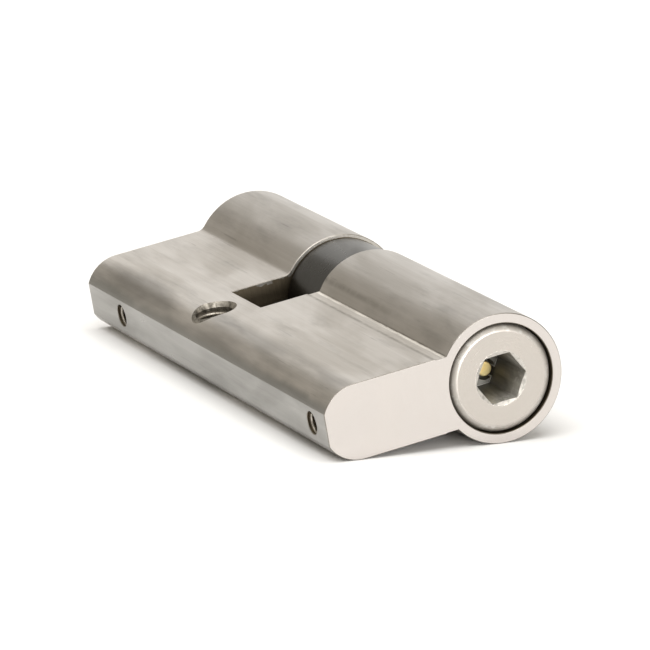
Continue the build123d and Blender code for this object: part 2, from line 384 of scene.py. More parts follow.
class Effects:
    """The shader node groups that more than one finish uses, each built once."""

    def __init__(self) -> None:
        """Builds every group."""
        self.marks = {lay: self.build_marks(lay) for lay in Lay}
        self.handling = self.build_handling()
        self.wear = self.build_wear()

    @staticmethod
    def build_marks(lay: Lay) -> bpy.types.NodeTree:
        """Fine tool marks that all run one way, with longer and wider strokes among them.

        Args:
            lay: Which way the marks run.

        Returns:
            The group. Its outputs are Lines, Strokes, Scratches and Height, each about 0 to 1.
        """
        group, tree, given, result = new_group(
            "marks " + lay.value,
            {"Fine": 6000.0, "Coarse": 900.0, "Length": 0.03},
            ("Lines", "Strokes", "Scratches", "Height"),
        )
        place, fine, coarse, squeeze = given.outputs[:4]
        x, y, z = tree.add("SeparateXYZ", {0: place}).outputs
        if lay is Lay.AROUND:
            turn = tree.times(tree.math("ARCTAN2", y, z), TURNING_RADIUS)
            along, across, other = turn, tree.distance(y, z), x
        elif lay is Lay.ALONG:
            along, across, other = x, y, z
        else:
            along, across, other = z, x, y
        stagger = tree.plus(tree.times(across, STAGGER[0]), tree.times(other, STAGGER[1]))
        vector = tree.join(tree.plus(tree.times(along, squeeze), stagger), across, other)
        lines = tree.spread(tree.noise(vector, fine, 2.0, 0.5), *LINE_BOUNDS)
        strokes = tree.spread(tree.noise(vector, coarse, 4.0, 0.6), *STROKE_BOUNDS)
        scratches = tree.times(THIN_LINES.over(tree, vector), SCRATCHED_PLACES.over(tree, place))
        height = tree.minus(tree.blend(STROKE_HEIGHT, lines, strokes), scratches)
        results = {"Lines": lines, "Strokes": strokes, "Scratches": scratches, "Height": height}
        for label, socket in results.items():
            tree.feed(result.inputs[label], socket)
        return group

    @staticmethod
    def build_handling() -> bpy.types.NodeTree:
        """Cloudy patches and small nicks from handling.

        Returns:
            The group. Its outputs are Clouds and Nicks, each 0 to 1.
        """
        group, tree, given, result = new_group(
            "handling", {"Size": 150.0, "Stretch": 0.35}, ("Clouds", "Nicks")
        )
        place, size, stretch = given.outputs[:3]
        x, y, z = tree.add("SeparateXYZ", {0: place}).outputs
        vector = tree.join(tree.plus(tree.times(x, stretch), tree.times(y, CLOUD_SLANT)), y, z)
        clouds = tree.add(
            "TexNoise", {"Vector": vector, "Scale": size, "Detail": 4.0, "Distortion": 0.6}
        )
        cells = tree.add("TexVoronoi", {"Vector": place, "Scale": NICKS_PER_METRE}, feature="F1")
        dots = tree.spread(cells.outputs["Distance"], *NICK_EDGE)
        tree.feed(result.inputs["Clouds"], tree.spread(clouds.outputs[0], *CLOUD_BOUNDS))
        tree.feed(result.inputs["Nicks"], tree.times(dots, NICKED_PLACES.over(tree, place)))
        return group

    @staticmethod
    def build_wear() -> bpy.types.NodeTree:
        """Edges rubbed bright.

        Returns:
            The group. Its output Mask is 1 on an edge and 0 on a flat.
        """
        group, tree, given, result = new_group("edge wear", {"Radius": 0.15 * MM}, ("Mask",))
        rounded = tree.add("Bevel", {"Radius": given.outputs["Radius"]}, samples=4)
        plain = tree.add("NewGeometry").outputs["Normal"]
        dot = tree.add("VectorMath", {0: rounded.outputs[0], 1: plain}, operation="DOT_PRODUCT")
        edge = tree.spread(dot.outputs["Value"], *EDGE_COSINES)
        whole = UNBROKEN_EDGES.over(tree, given.outputs["Vector"])
        tree.feed(result.inputs["Mask"], tree.times(edge, whole))
        return group


# ---- Finishes ----

FINE_SHARE = 0.35  # the fine lines' share of the streaks
SCORED = 0.45  # brightness of a scratch's bottom, beside the dull colour
NICK_DEPTH = 2.0  # depth of a nick, beside the marks' height


@dataclass(frozen=True)
class Finish:
    """A metal surface, worked all over in one way.

    Attributes:
        name: The material's name.
        light: Colour of its bright places.
        dark: Colour of its dull places.
        smooth: Roughness of its bright places.
        dull: Roughness of its dull places.
        lay: Which way its marks run.
        fine: Fine marks to the metre.
        coarse: Strokes to the metre.
        length: Share by which marks are squeezed along their length.
        depth: Height of the marks.
        clouds: How strongly cloudy patches dull it, 0 to 1.
        cloud_size: Cloudy patches to the metre.
        scratch: How strongly long scratches show, 0 to 1.
        wear: How bright its edges are rubbed, 0 to 1.
        edge: Colour of its rubbed edges.
        metal: How metallic it is, 0 to 1.
    """

    name: str
    light: Colour
    dark: Colour
    smooth: float
    dull: float
    lay: Lay = Lay.ALONG
    fine: float = 5200.0
    coarse: float = 900.0
    length: float = 0.03
    depth: float = 0.003
    clouds: float = 0.4
    cloud_size: float = 150.0
    scratch: float = 0.0
    wear: float = 0.0
    edge: Colour = (0.72, 0.68, 0.62)
    metal: float = 1.0

    def layer(self, tree: Tree, effects: Effects) -> tuple[Socket, ...]:
        """Works out the surface.

        Args:
            tree: Tree to build in.
            effects: The shared groups.

        Returns:
            Sockets for the colour, the roughness and the height in metres.
        """
        place = tree.add("TexCoord").outputs["Object"]
        marks = tree.add(
            "Group",
            {"Vector": place, "Fine": self.fine, "Coarse": self.coarse, "Length": self.length},
            node_tree=effects.marks[self.lay],
        )
        handling = tree.add(
            "Group", {"Vector": place, "Size": self.cloud_size}, node_tree=effects.handling
        )
        streaks = tree.blend(FINE_SHARE, marks.outputs["Strokes"], marks.outputs["Lines"])
        share = tree.blend(self.clouds, streaks, handling.outputs["Clouds"])
        colour = tree.mix(share, self.light, self.dark)
        rough = tree.blend(share, self.smooth, self.dull)
        if self.scratch > 0.0:
            scored = tree.times(marks.outputs["Scratches"], self.scratch)
            deep = tuple(SCORED * channel for channel in self.dark)
            colour = tree.mix(scored, colour, deep)
        if self.wear > 0.0:
            edges = tree.add("Group", {"Vector": place}, node_tree=effects.wear).outputs["Mask"]
            rubbed = tree.times(edges, self.wear)
            colour = tree.mix(rubbed, colour, self.edge)
            rough = tree.blend(rubbed, rough, self.smooth)
        nicks = tree.times(handling.outputs["Nicks"], NICK_DEPTH)
        height = tree.minus(marks.outputs["Height"], nicks)
        return colour, rough, tree.times(height, self.depth * MM)

    def material(self, effects: Effects) -> bpy.types.Material:
        """Makes the material.

        Args:
            effects: The shared groups.

        Returns:
            The new material.
        """
        material, tree, shader = new_metal(self.name)
        shader.inputs["Metallic"].default_value = self.metal
        tree.finish(shader, *self.layer(tree, effects))
        return material


def new_metal(name: str) -> tuple[bpy.types.Material, Tree, bpy.types.Node]:
    """Starts a bare metal material.

    Args:
        name: The material's name.

    Returns:
        The material, its tree and its shader node.
    """
    material = bpy.data.materials.new(name)
    material.use_nodes = True
    shader = next(n for n in material.node_tree.nodes if n.type == "BSDF_PRINCIPLED")
    shader.inputs["Metallic"].default_value = 1.0
    return material, Tree(material.node_tree), shader


FLANK = Finish(
    "nickel_flank", light=(0.575, 0.546, 0.518), dark=(0.42, 0.391, 0.355), smooth=0.30, dull=0.42,
    coarse=700.0, length=0.02, clouds=0.62, scratch=0.35, wear=0.35,
)
# Painted shade: the broken edges round the end faces and the slot in the leg get this darker
# finish, which stands for their shade and holds back their highlight.
SHADED_RIM = Finish(
    "painted_shade_rim", light=(0.34, 0.32, 0.29), dark=(0.22, 0.20, 0.175), smooth=0.42, dull=0.55,
    coarse=1500.0, length=0.1, depth=0.002,
)
STRIP = Finish(
    "slot_strip", light=(0.50, 0.475, 0.435), dark=(0.34, 0.32, 0.285), smooth=0.40, dull=0.55,
    lay=Lay.ACROSS, coarse=1500.0, length=0.1,
)
# Painted shade: the sole gets a darker finish for the shade that it faces; its wear and scratches
# are real.
SHADED_SOLE = Finish(
    "nickel_sole_painted_shade", light=(0.365, 0.355, 0.335), dark=(0.25, 0.242, 0.224), smooth=0.26, dull=0.38,
    length=0.04, clouds=0.7, scratch=0.3, wear=0.4, edge=(0.52, 0.50, 0.47),
)
FACE = Finish(
    "nickel_face", light=(0.635, 0.598, 0.572), dark=(0.59, 0.552, 0.522), smooth=0.17, dull=0.25,
    lay=Lay.ACROSS, fine=5000.0, coarse=500.0, length=0.05, depth=0.0006, clouds=0.7,
)
# Bare brass tone, darkened with painted shade for the slot's walls, the plug's bore and the small
# holes.
SHADED_CUT = Finish(
    "bare_cut_painted_shade", light=(0.20, 0.165, 0.115), dark=(0.09, 0.073, 0.048), smooth=0.38, dull=0.58,
    lay=Lay.ACROSS, fine=5000.0, coarse=1400.0, length=0.08, depth=0.005, clouds=0.6,
)
# Painted shade: the fixing hole's wall and mouth are darkened to near black in patches.
SHADED_TAPPED = Finish(
    "tapped_hole_painted_shade", light=(0.48, 0.445, 0.39), dark=(0.035, 0.029, 0.02), smooth=0.32, dull=0.58,
    lay=Lay.ACROSS, fine=5000.0, coarse=1300.0, length=0.5, depth=0.02, clouds=0.6,
    cloud_size=700.0,
)
THREAD = Finish(
    "thread_ridge", light=(0.62, 0.58, 0.52), dark=(0.14, 0.12, 0.09), smooth=0.28, dull=0.50,
    lay=Lay.ACROSS, fine=5000.0, coarse=1500.0, length=0.6, depth=0.01, clouds=0.5,
    cloud_size=600.0,
)
PLUG = Finish(
    "plug_face", light=(0.535, 0.50, 0.462), dark=(0.48, 0.445, 0.405), smooth=0.20, dull=0.30,
    lay=Lay.AROUND, fine=7000.0, coarse=2200.0, length=0.02, depth=0.0008, clouds=0.7, wear=0.5,
    edge=(0.60, 0.57, 0.52),
)
SOCKET = Finish(
    "broached_socket", light=(0.52, 0.50, 0.455), dark=(0.24, 0.228, 0.20), smooth=0.46, dull=0.66,
    coarse=1800.0, length=0.05, depth=0.006, clouds=0.6, cloud_size=500.0,
)
CAM = Finish(
    "dark_cam_steel", light=(0.088, 0.087, 0.084), dark=(0.052, 0.05, 0.047), smooth=0.26,
    dull=0.36, lay=Lay.AROUND, coarse=1500.0, length=0.04, depth=0.001, clouds=0.85, wear=0.3,
    edge=(0.26, 0.25, 0.235),
)
DISC = Finish(
    "socket_floor", light=(0.34, 0.33, 0.295), dark=(0.20, 0.19, 0.165), smooth=0.45, dull=0.60,
    lay=Lay.ACROSS, coarse=1600.0, length=0.2, depth=0.002, clouds=0.6,
)
GROUND = Finish(
    "ground_steel", light=(0.52, 0.52, 0.53), dark=(0.36, 0.36, 0.37), smooth=0.22, dull=0.38,
    coarse=1600.0, length=0.06, depth=0.002, scratch=0.3, wear=0.4,
)
SPRING = Finish(
    "spring_steel", light=(0.60, 0.59, 0.57), dark=(0.40, 0.39, 0.37), smooth=0.24, dull=0.40,
    fine=6000.0, coarse=2400.0, length=0.5, depth=0.001, clouds=0.5,
)
BRIGHT = Finish(
    "bright_steel", light=(0.84, 0.82, 0.79), dark=(0.62, 0.60, 0.56), smooth=0.30, dull=0.48,
    coarse=1800.0, length=0.3, depth=0.002, clouds=0.5,
)
BRASS = Finish(
    "turned_brass", light=(1.0, 0.84, 0.42), dark=(0.93, 0.68, 0.27), smooth=0.36, dull=0.50,
    lay=Lay.AROUND, fine=6000.0, coarse=2600.0, length=0.5, depth=0.004, clouds=0.7,
    cloud_size=900.0, scratch=0.3, metal=0.8,
)


# ---- Sub-assemblies ----


def dress(node: str, material: bpy.types.Material, frame: dict) -> None:
    """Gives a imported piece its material.

    Args:
        node: The piece's name.
        material: What it wears.
        frame: The loaded model.
    """
    piece = frame["nodes"][node]
    if not piece.material_slots:
        piece.data.materials.append(material)
    for slot in piece.material_slots:
        slot.material = material
    LOG.info("%s wears %s", node, material.name)


@dataclass(frozen=True)
class Thread:
    """The ridge of an inside thread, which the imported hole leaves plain.

    Attributes:
        name: The piece's name.
        radius: Major radius.
        pitch: Pitch.
        length: Length along the hole.
        depth: Depth of the ridge, as a share of the pitch.
        root_half: Half the ridge's width at its foot, as a share of the pitch.
        crest_half: Half its width at its crest, as a share of the pitch.
        bite: How far its foot reaches into the hole's wall.
        steps: Steps in one turn.
    """

    name: str
    radius: float
    pitch: float
    length: float
    depth: float = 0.54
    root_half: float = 0.44
    crest_half: float = 0.125
    bite: float = 0.02
    steps: int = 28

    def cut(self, place: Matrix) -> bpy.types.Object:
        """Winds the ridge.

        Args:
            place: Where the thread's low end and axis lie, in metres.

        Returns:
            The ridge, riding on the housing.
        """
        foot = self.radius + self.bite
        crest = self.radius - self.depth * self.pitch
        profile = (
            (foot, -self.root_half),
            (crest, -self.crest_half),
            (crest, self.crest_half),
            (foot, self.root_half),
        )
        mesh = bmesh.new()
        corners = [
            mesh.verts.new((r * MM, 0.0, (share + 0.5) * self.pitch * MM)) for r, share in profile
        ]
        start = mesh.faces.new(corners)
        count = round((self.length - self.pitch) / self.pitch * self.steps)
        bmesh.ops.spin(
            mesh,
            geom=[start],
            cent=(0.0, 0.0, 0.0),
            axis=(0.0, 0.0, 1.0),
            dvec=(0.0, 0.0, self.pitch * MM / self.steps),
            angle=math.tau * count / self.steps,
            steps=count,
        )
        bmesh.ops.remove_doubles(mesh, verts=mesh.verts, dist=1e-7)
        bmesh.ops.recalc_face_normals(mesh, faces=mesh.faces)
        bmesh.ops.transform(mesh, matrix=place, verts=mesh.verts)
        data = bpy.data.meshes.new(self.name)
        mesh.to_mesh(data)
        mesh.free()
        data.shade_smooth()
        piece = bpy.data.objects.new(self.name, data)
        bpy.context.scene.collection.objects.link(piece)
        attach(piece, "housing")
        LOG.info("%s has %d faces and rides on the housing", self.name, len(data.polygons))
        return piece


@dataclass(frozen=True)
class ShadedRootGroove:
    """Painted highlight and painted shadow for a shallow planed groove along the root of the leg,
    on the front half alone.

    Attributes:
        level: Height from the leg's middle above which a point is on the flank.
        strip: Where the strip of painted highlight starts and ends down the leg, one ramp for each.
        gleam: How the painted highlight grows brighter towards the barrel.
        outer: The line of painted shadow at the strip's far side, across its half width.
        inner: The line of painted shadow at the strip's near side, across its half width.
        crest: The line of painted shadow on the barrel's flank, across its half width.
        places: Places down the leg of the outer, inner and crest lines.
        outer_share: How dark the outer line is.
        inner_share: How dark the inner line is, from the slot to the end.
        crest_share: How dark the crest line is, from the slot to the end.
        drift: How far the marks wander down the leg.
        wander: Scale and detail of that noise.
        squeeze: Share by which the strip's streaks are squeezed along their length.
        streaks: Streaks in the strip.
        unbroken: Where the lines are whole.
        raised: Height of the strip.
        sunk: Depth of the lines.
        bright: Colour of the strip's painted highlight.
        line_shadow: Colour of the lines' painted shadow.
        line_shadow_share: How far it covers the flank's colour.
    """

    level: float = 4.83
    strip: tuple[Ramp, Ramp] = (Ramp(-8.63, -8.47), Ramp(-6.82, -6.92))
    gleam: Ramp = Ramp(-7.47, -7.22, 0.2, 1.0)
    outer: Ramp = Ramp(0.50, 0.02)
    inner: Ramp = Ramp(0.13, 0.02)
    crest: Ramp = Ramp(0.50, 0.02)
    places: Triple = (-8.55, -6.87, -5.69)
    outer_share: float = 0.85
    inner_share: Ramp = Ramp(8.0, 36.0, 0.6, 1.0)
    crest_share: Ramp = Ramp(34.0, 14.0, 0.1, 0.55)
    drift: float = 0.1
    wander: tuple[float, float] = (60.0, 2.0)
    squeeze: float = 0.12
    streaks: Pattern = Pattern(2600.0, 3.0, 0.34, 0.62, 0.5, 1.0)
    unbroken: Pattern = Pattern(700.0, 3.0, 0.30, 0.60, 0.45, 1.0)
    raised: float = 0.01
    sunk: float = 0.03
    # Colour of the painted highlight on the strip.
    bright: Colour = (0.92, 0.88, 0.82)
    line_shadow: Colour = (0.15, 0.135, 0.11)
    line_shadow_share: float = 0.78

    def marks(self, tree: Tree, start: float) -> tuple[Socket, ...]:
        """Finds the strip and the lines.

        Args:
            tree: Tree to build in.
            start: Where they start along the cylinder.

        Returns:
            A mask for the strip of painted highlight, one for the lines of painted shadow, and the
            height of both in metres.
        """
        place, x, y, z = tree.place()
        wandering = tree.minus(tree.noise(place, *self.wander), 0.5)
        y = tree.plus(y, tree.times(wandering, self.drift * MM))
        here = tree.times(tree.over(x, start * MM), tree.over(tree.unsigned(z), self.level * MM))
        streaks = self.streaks.over(tree, tree.join(tree.times(x, self.squeeze), y, z))
        ramps = [ramp.over(tree, y) for ramp in (*self.strip, self.gleam)]
        band = tree.times(*ramps, streaks, here)
        shares = (self.outer_share, self.inner_share.over(tree, x), self.crest_share.over(tree, x))
        drawn = [
            tree.times(ramp.over(tree, tree.unsigned(tree.minus(y, line * MM))), share)
            for ramp, line, share in zip((self.outer, self.inner, self.crest), self.places, shares)
        ]
        lines = tree.times(tree.most(*drawn), here, self.unbroken.over(tree, place))
        height = tree.minus(tree.times(band, self.raised * MM), tree.times(lines, self.sunk * MM))
        return band, lines, height


@dataclass(frozen=True)
class Stains:
    """How much duller some places of the flanks are.

    Attributes:
        barrel: Loss of light from the leg to the barrel.
        foot: Where the stained band on the leg's round edge starts and is whole.
        patches: Loss of light over the band.
        smears: Loss of light anywhere.
        squeeze: Share by which stains are squeezed along their length.
    """

    barrel: Ramp = Ramp(-6.4, -1.9, 0.0, 0.2)
    foot: Ramp = Ramp(-18.8, -21.2)
    patches: Pattern = Pattern(190.0, 4.0, 0.34, 0.62, -0.18, 0.34, keep=0.5)
    smears: Pattern = Pattern(450.0, 5.0, 0.50, 0.72, 0.0, 0.14, keep=0.6)
    squeeze: float = 0.2

    def loss(self, tree: Tree) -> Socket:
        """The share of light that the surface loses."""
        _, x, y, z = tree.place()
        vector = tree.join(tree.times(x, self.squeeze), y, z)
        band = tree.times(self.foot.over(tree, y), self.patches.over(tree, vector))
        return tree.plus(self.barrel.over(tree, y), band, self.smears.over(tree, vector))


@dataclass(frozen=True)
class Housing:
    """The machined body, with its threads.

    Attributes:
        middle: Middle of the length, along the axis.
        half_length: Half the length.
        slot_half: Half the cam slot's width.
        slot_end: Place of the slot's end down the leg.
        bore_radius: Radius of the plug's bore in the end faces.
        fixing_y: Place of the fixing hole down the leg.
        fixing_half: Half the length of the hole's plain wall.
        fixing_mouth: Radius of the hole's mouth.
        sole_y: Place of the sole.
        sole_shade_fade: Where the sole's painted shade starts on the foot's round and is whole.
        sole_wave: How far its edge wanders.
        wander: Scale and detail of that noise.
        sole_holes: Places of the two holes in the sole, along the axis.
        sole_radius: Their radius.
        sole_start: Depth below the sole at which their threads start.
        barrel_radius: Radius of the barrel.
        leg_half: Half the leg's thickness.
        leg_start: Where the slot's wall passes from the barrel to the leg.
        rim: Width of the edges that are broken round the end faces and the slot.
        strip: Width of the strip of slot wall round the cam that is left out of the walls' painted
            shade.
        lip: Width of the lip of slot wall in the leg that takes the broken edges' painted shade
            instead of the walls'.
        smear: How far the walls' painted shade strays into the lip.
        skin: How far a mask reaches past a flat surface, to take it in.
        round_skin: The same for a round wall.
        fixing: Thread of the fixing hole.
        root: Painted highlight and painted shadow along the root of the leg.
        stains: Duller places.
    """

    middle: float = 5.0
    half_length: float = 40.0
    slot_half: float = 5.0
    slot_end: float = -15.4
    bore_radius: float = 7.2
    fixing_y: float = -20.0
    fixing_half: float = 4.4
    fixing_mouth: float = 3.1
    sole_y: float = -24.5
    sole_shade_fade: Ramp = Ramp(-23.5, -24.3)
    sole_wave: float = 1.6
    wander: tuple[float, float] = (130.0, 3.0)
    sole_holes: tuple[float, float] = (40.3, -23.8)
    sole_radius: float = 1.5
    sole_start: float = 0.1
    barrel_radius: float = 8.5
    leg_half: float = 5.0
    leg_start: float = -6.4
    rim: float = 0.1
    strip: float = 0.45
    lip: float = 0.12
    smear: Pattern = Pattern(520.0, 3.0, 0.52, 0.70, 0.0, 0.45 * MM)
    skin: float = 0.01
    round_skin: float = 0.02
    fixing: Thread = Thread("fixing_thread", radius=2.5, pitch=0.8, length=8.8)
    root: ShadedRootGroove = ShadedRootGroove()
    stains: Stains = Stains()

    def regions(self, tree: Tree) -> tuple[tuple[Socket, Finish], ...]:
        """Finds where each finish other than the flanks' one shows.

        Args:
            tree: Tree to build in.

        Returns:
            Pairs of a mask and its finish, each laid over the ones before it.
        """
        place, x, y, z = tree.place()
        radius = tree.distance(y, z)
        height = tree.unsigned(z)
        from_middle = tree.unsigned(tree.minus(x, self.middle * MM))
        # The broken edges carry painted shade.
        shaded_rims = tree.over(from_middle, (self.half_length - self.rim - self.skin) * MM)
        ends = tree.over(from_middle, (self.half_length - self.skin) * MM)
        wandering = tree.minus(tree.noise(place, *self.wander), 0.5)
        # The sole's darker finish is painted shade.
        sole = self.sole_shade_fade.over(tree, tree.plus(y, tree.times(wandering, self.sole_wave * MM)))
        off_slot = tree.unsigned(x)
        slot = tree.times(
            tree.under(off_slot, (self.slot_half + self.rim + self.skin) * MM),
            tree.over(y, (self.slot_end - self.skin) * MM),
        )
        walls = tree.under(off_slot, (self.slot_half + self.skin) * MM)
        on_leg = tree.under(y, self.leg_start * MM)
        strayed = tree.plus(height, self.smear.over(tree, place))
        off_lip = tree.under(strayed, (self.leg_half - self.lip) * MM)
        off_strip = tree.under(radius, (self.barrel_radius - self.strip) * MM)
        # The slot's walls, bar the strip round the cam and the lip in the leg, carry painted shade.
        pit = tree.times(slot, walls, tree.most(off_strip, tree.times(off_lip, on_leg)))
        bore = tree.under(radius, (self.bore_radius + self.round_skin) * MM)
        from_hole = tree.distance(x, tree.minus(y, self.fixing_y * MM))
        # The fixing hole's wall and mouth carry painted shade.
        tapped = tree.times(
            tree.under(from_hole, (self.fixing_mouth + self.skin) * MM),
            tree.under(height, (self.leg_half - self.skin) * MM),
        )
        reach = (self.sole_radius + self.round_skin) * MM
        from_holes = (tree.distance(tree.minus(x, hole * MM), z) for hole in self.sole_holes)
        small = tree.most(*(tree.under(distance, reach) for distance in from_holes))
        cuts = tree.most(pit, bore, tree.times(small, on_leg))
        return (
            (sole, SHADED_SOLE),
            (shaded_rims, SHADED_RIM),
            (ends, FACE),
            (slot, STRIP),
            (tree.times(slot, on_leg), SHADED_RIM),
            (cuts, SHADED_CUT),
            (tapped, SHADED_TAPPED),
        )

    def material(self, effects: Effects) -> bpy.types.Material:
        """Brushed flanks, polished end faces and bare cuts in one material, with painted shade on
        the cuts, broken edges, sole and fixing hole, and a painted highlight and painted shadow
        along the leg's root.

        Args:
            effects: The shared groups.

        Returns:
            The new material.
        """
        material, tree, shader = new_metal("satin_nickel_housing")
        colour, rough, height = FLANK.layer(tree, effects)
        band, lines, relief = self.root.marks(tree, self.slot_half)
        kept = tree.minus(1.0, self.stains.loss(tree))
        colour = tree.add("VectorMath", {0: colour, "Scale": kept}, operation="SCALE").outputs[0]
        # Painted highlight on the strip at the leg's root, then painted shadow along its lines.
        colour = tree.mix(band, colour, self.root.bright)
        colour = tree.mix(tree.times(lines, self.root.line_shadow_share), colour, self.root.line_shadow)
        height = tree.plus(height, relief)
        for share, finish in self.regions(tree):
            over = finish.layer(tree, effects)
            colour = tree.mix(share, colour, over[0])
            rough = tree.blend(share, rough, over[1])
            height = tree.blend(share, height, over[2])
        tree.finish(shader, colour, rough, height)
        return material

    def build(self, effects: Effects, frame: dict) -> None:
        """Dresses the housing and cuts its threads.

        Args:
            effects: The shared groups.
            frame: The loaded model.
        """
        dress("housing", self.material(effects), frame)
        crest = THREAD.material(effects)
        bottom = Matrix.Translation((0.0, self.fixing_y * MM, -self.fixing_half * MM))
        ridges = [self.fixing.cut(bottom)]
        inward = Matrix.Rotation(-math.pi / 2, 4, "X")
        for end, hole in zip(End, self.sole_holes):
            mouth = Matrix.Translation((hole * MM, (self.sole_y + self.sole_start) * MM, 0.0))
            thread = Thread(f"grub_thread_{end.value}", self.sole_radius, pitch=0.5, length=0.8)
            ridges.append(thread.cut(mouth @ inward))
        for ridge in ridges:
            ridge.data.materials.append(crest)


@dataclass(frozen=True)
class Plug:
    """One plug with what turns with it: its socket's floor, its rod, its circlip and its spring.

    Attributes:
        end: Which end it sits in.
        face: Place of its face from the cam's middle.
        socket_radius: Largest radius of the hexagon socket.
        mouth_radius: Radius of the socket's mouth.
        mouth_slope: Depth of the mouth's cone for each millimetre of radius.
        skin: How far the mouth's mask reaches past it.
        wall_skin: How far the wall's mask reaches into the cone.
        mouth_scuffs_and_light: How strongly keys have marked the wall, by depth, which also paints
            light near the mouth.
        deep_shading: How strongly painted shade darkens the wall, by depth.
        scuffs: Where keys have marked it.
        scuffed_and_lit: Colour of the key scuffs, which also stands in as painted light near the
            mouth.
        deep_shade: Colour of the wall's painted shade.
        wall_metal: How metallic the wall is, plain and under the key scuffs and painted light.
        round_rim: Where the face gives way to its round rim, by radius.
        rim_shade_share: How far the rim's painted shade covers the face's colour.
        rim: Colour of that painted shade.
        rim_rough: The rim's roughness.
        chafing: Where the rim is chafed bright.
        chafed: Colour of its chafed places.
        lip: Colours of the mouth's cone, plain and marked by keys.
        lip_rough: The cone's roughness.
        lip_metal: How metallic it is.
        painted_glint_edge: Where the painted highlight on the floor disc's chamfered edge begins,
            as half a distance across flats.
        glint_colour: Colour of that painted highlight.
        glint_rough: Its roughness.
        floor_metal: How metallic the floor is inside it.
    """

    end: End
    face: float
    socket_radius: float = 3.6
    mouth_radius: float = 3.55
    mouth_slope: float = 0.4
    skin: float = 0.01
    wall_skin: float = 0.03
    mouth_scuffs_and_light: Ramp = Ramp(3.6, 0.3)
    deep_shading: Ramp = Ramp(1.2, 6.5, 0.0, 0.65)
    scuffs: Pattern = Pattern(1500.0, 5.0, 0.50, 0.60, keep=0.7)
    scuffed_and_lit: Colour = (0.66, 0.64, 0.60)
    deep_shade: Colour = (0.07, 0.066, 0.054)
    wall_metal: tuple[float, float] = (0.30, 0.75)
    round_rim: Ramp = Ramp(6.0, 6.4)
    rim_shade_share: float = 0.65
    rim: Colour = (0.38, 0.36, 0.33)
    rim_rough: float = 0.60
    chafing: Pattern = Pattern(900.0, 5.0, 0.50, 0.68, keep=0.7)
    chafed: Colour = (0.56, 0.545, 0.515)
    lip: tuple[Colour, Colour] = ((0.54, 0.515, 0.475), (0.36, 0.345, 0.315))
    lip_rough: float = 0.5
    lip_metal: float = 0.75
    painted_glint_edge: Ramp = Ramp(2.87, 2.90)
    glint_colour: Colour = (0.92, 0.90, 0.84)
    glint_rough: float = 0.5
    floor_metal: float = 0.6

    def socket_masks(self, tree: Tree) -> tuple[Socket, ...]:
        """Finds the walls and the cone of the hexagon socket, and how deep a point lies.

        Args:
            tree: Tree to build in.

        Returns:
            Masks for the walls and for the mouth's cone, the depth below the face in metres, and
            the distance from the axis in metres.
        """
        _, x, y, z = tree.place()
        radius = tree.distance(y, z)
        depth = tree.minus(self.face * MM, tree.times(x, float(self.end.side)))
        from_rim = tree.minus((self.mouth_radius + self.wall_skin) * MM, radius)
        below = tree.over(depth, tree.times(from_rim, self.mouth_slope))
        walls = tree.times(below, tree.under(radius, self.socket_radius * MM))
        near = tree.under(radius, (self.mouth_radius + self.skin) * MM)
        return walls, tree.times(tree.minus(1.0, walls), near), depth, radius

    def material(self, effects: Effects) -> bpy.types.Material:
        """A turned face with painted shade on its round rim, and a broached socket with key scuffs
        and painted light near its mouth and painted shade deeper in.

        Args:
            effects: The shared groups.

        Returns:
            The new material.
        """
        material, tree, shader = new_metal("turned_plug_" + self.end.value)
        socket, mouth, depth, radius = self.socket_masks(tree)
        face_colour, face_rough, face_height = PLUG.layer(tree, effects)
        wall_colour, wall_rough, wall_height = SOCKET.layer(tree, effects)
        place = tree.add("TexCoord").outputs["Object"]
        scuffs = self.scuffs.over(tree, place)
        # Key scuffs near the mouth, whose brightening also stands in as painted light where light
        # enters the socket.
        scuffed_and_lit = tree.times(self.mouth_scuffs_and_light.over(tree, depth), scuffs)
        # Painted shade: the socket's wall darkens with depth.
        wall_colour = tree.mix(self.deep_shading.over(tree, depth), wall_colour, self.deep_shade)
        wall_colour = tree.mix(scuffed_and_lit, wall_colour, self.scuffed_and_lit)
        outer = self.round_rim.over(tree, radius)
        chafed = tree.times(outer, self.chafing.over(tree, place))
        # Painted shade on the face's round rim, which also holds back its highlight.
        face_colour = tree.mix(tree.times(outer, self.rim_shade_share), face_colour, self.rim)
        face_colour = tree.mix(chafed, face_colour, self.chafed)
        face_colour = tree.mix(mouth, face_colour, tree.mix(scuffs, *self.lip))
        face_rough = tree.blend(outer, face_rough, self.rim_rough)
        face_rough = tree.blend(mouth, face_rough, self.lip_rough)
        face_metal = tree.blend(mouth, 1.0, self.lip_metal)
        wall_metal = tree.blend(scuffed_and_lit, *self.wall_metal)
        tree.feed(shader.inputs["Metallic"], tree.blend(socket, face_metal, wall_metal))
        tree.finish(
            shader,
            tree.mix(socket, face_colour, wall_colour),
            tree.blend(socket, face_rough, wall_rough),
            tree.blend(socket, face_height, wall_height),
        )
        return material

    def floor_material(self, effects: Effects) -> bpy.types.Material:
        """A dull floor disc with a painted highlight round its chamfered edge.

        Args:
            effects: The shared groups.

        Returns:
            The new material.
        """
        material, tree, shader = new_metal("socket_floor_" + self.end.value)
        colour, rough, height = DISC.layer(tree, effects)
        _, _, y, z = tree.place()
        slant = tree.times(y, math.cos(math.pi / 6))
        half = tree.times(z, math.sin(math.pi / 6))
        flats = (z, tree.plus(slant, half), tree.minus(slant, half))
        # Painted highlight: a near-white, non-metallic band on the disc's chamfered edge.
        painted_glint_edge = self.painted_glint_edge.over(tree, tree.most(*(tree.unsigned(flat) for flat in flats)))
        tree.feed(shader.inputs["Metallic"], tree.blend(painted_glint_edge, self.floor_metal, 0.0))
        tree.finish(
            shader,
            tree.mix(painted_glint_edge, colour, self.glint_colour),
            tree.blend(painted_glint_edge, rough, self.glint_rough),
            height,
        )
        return material

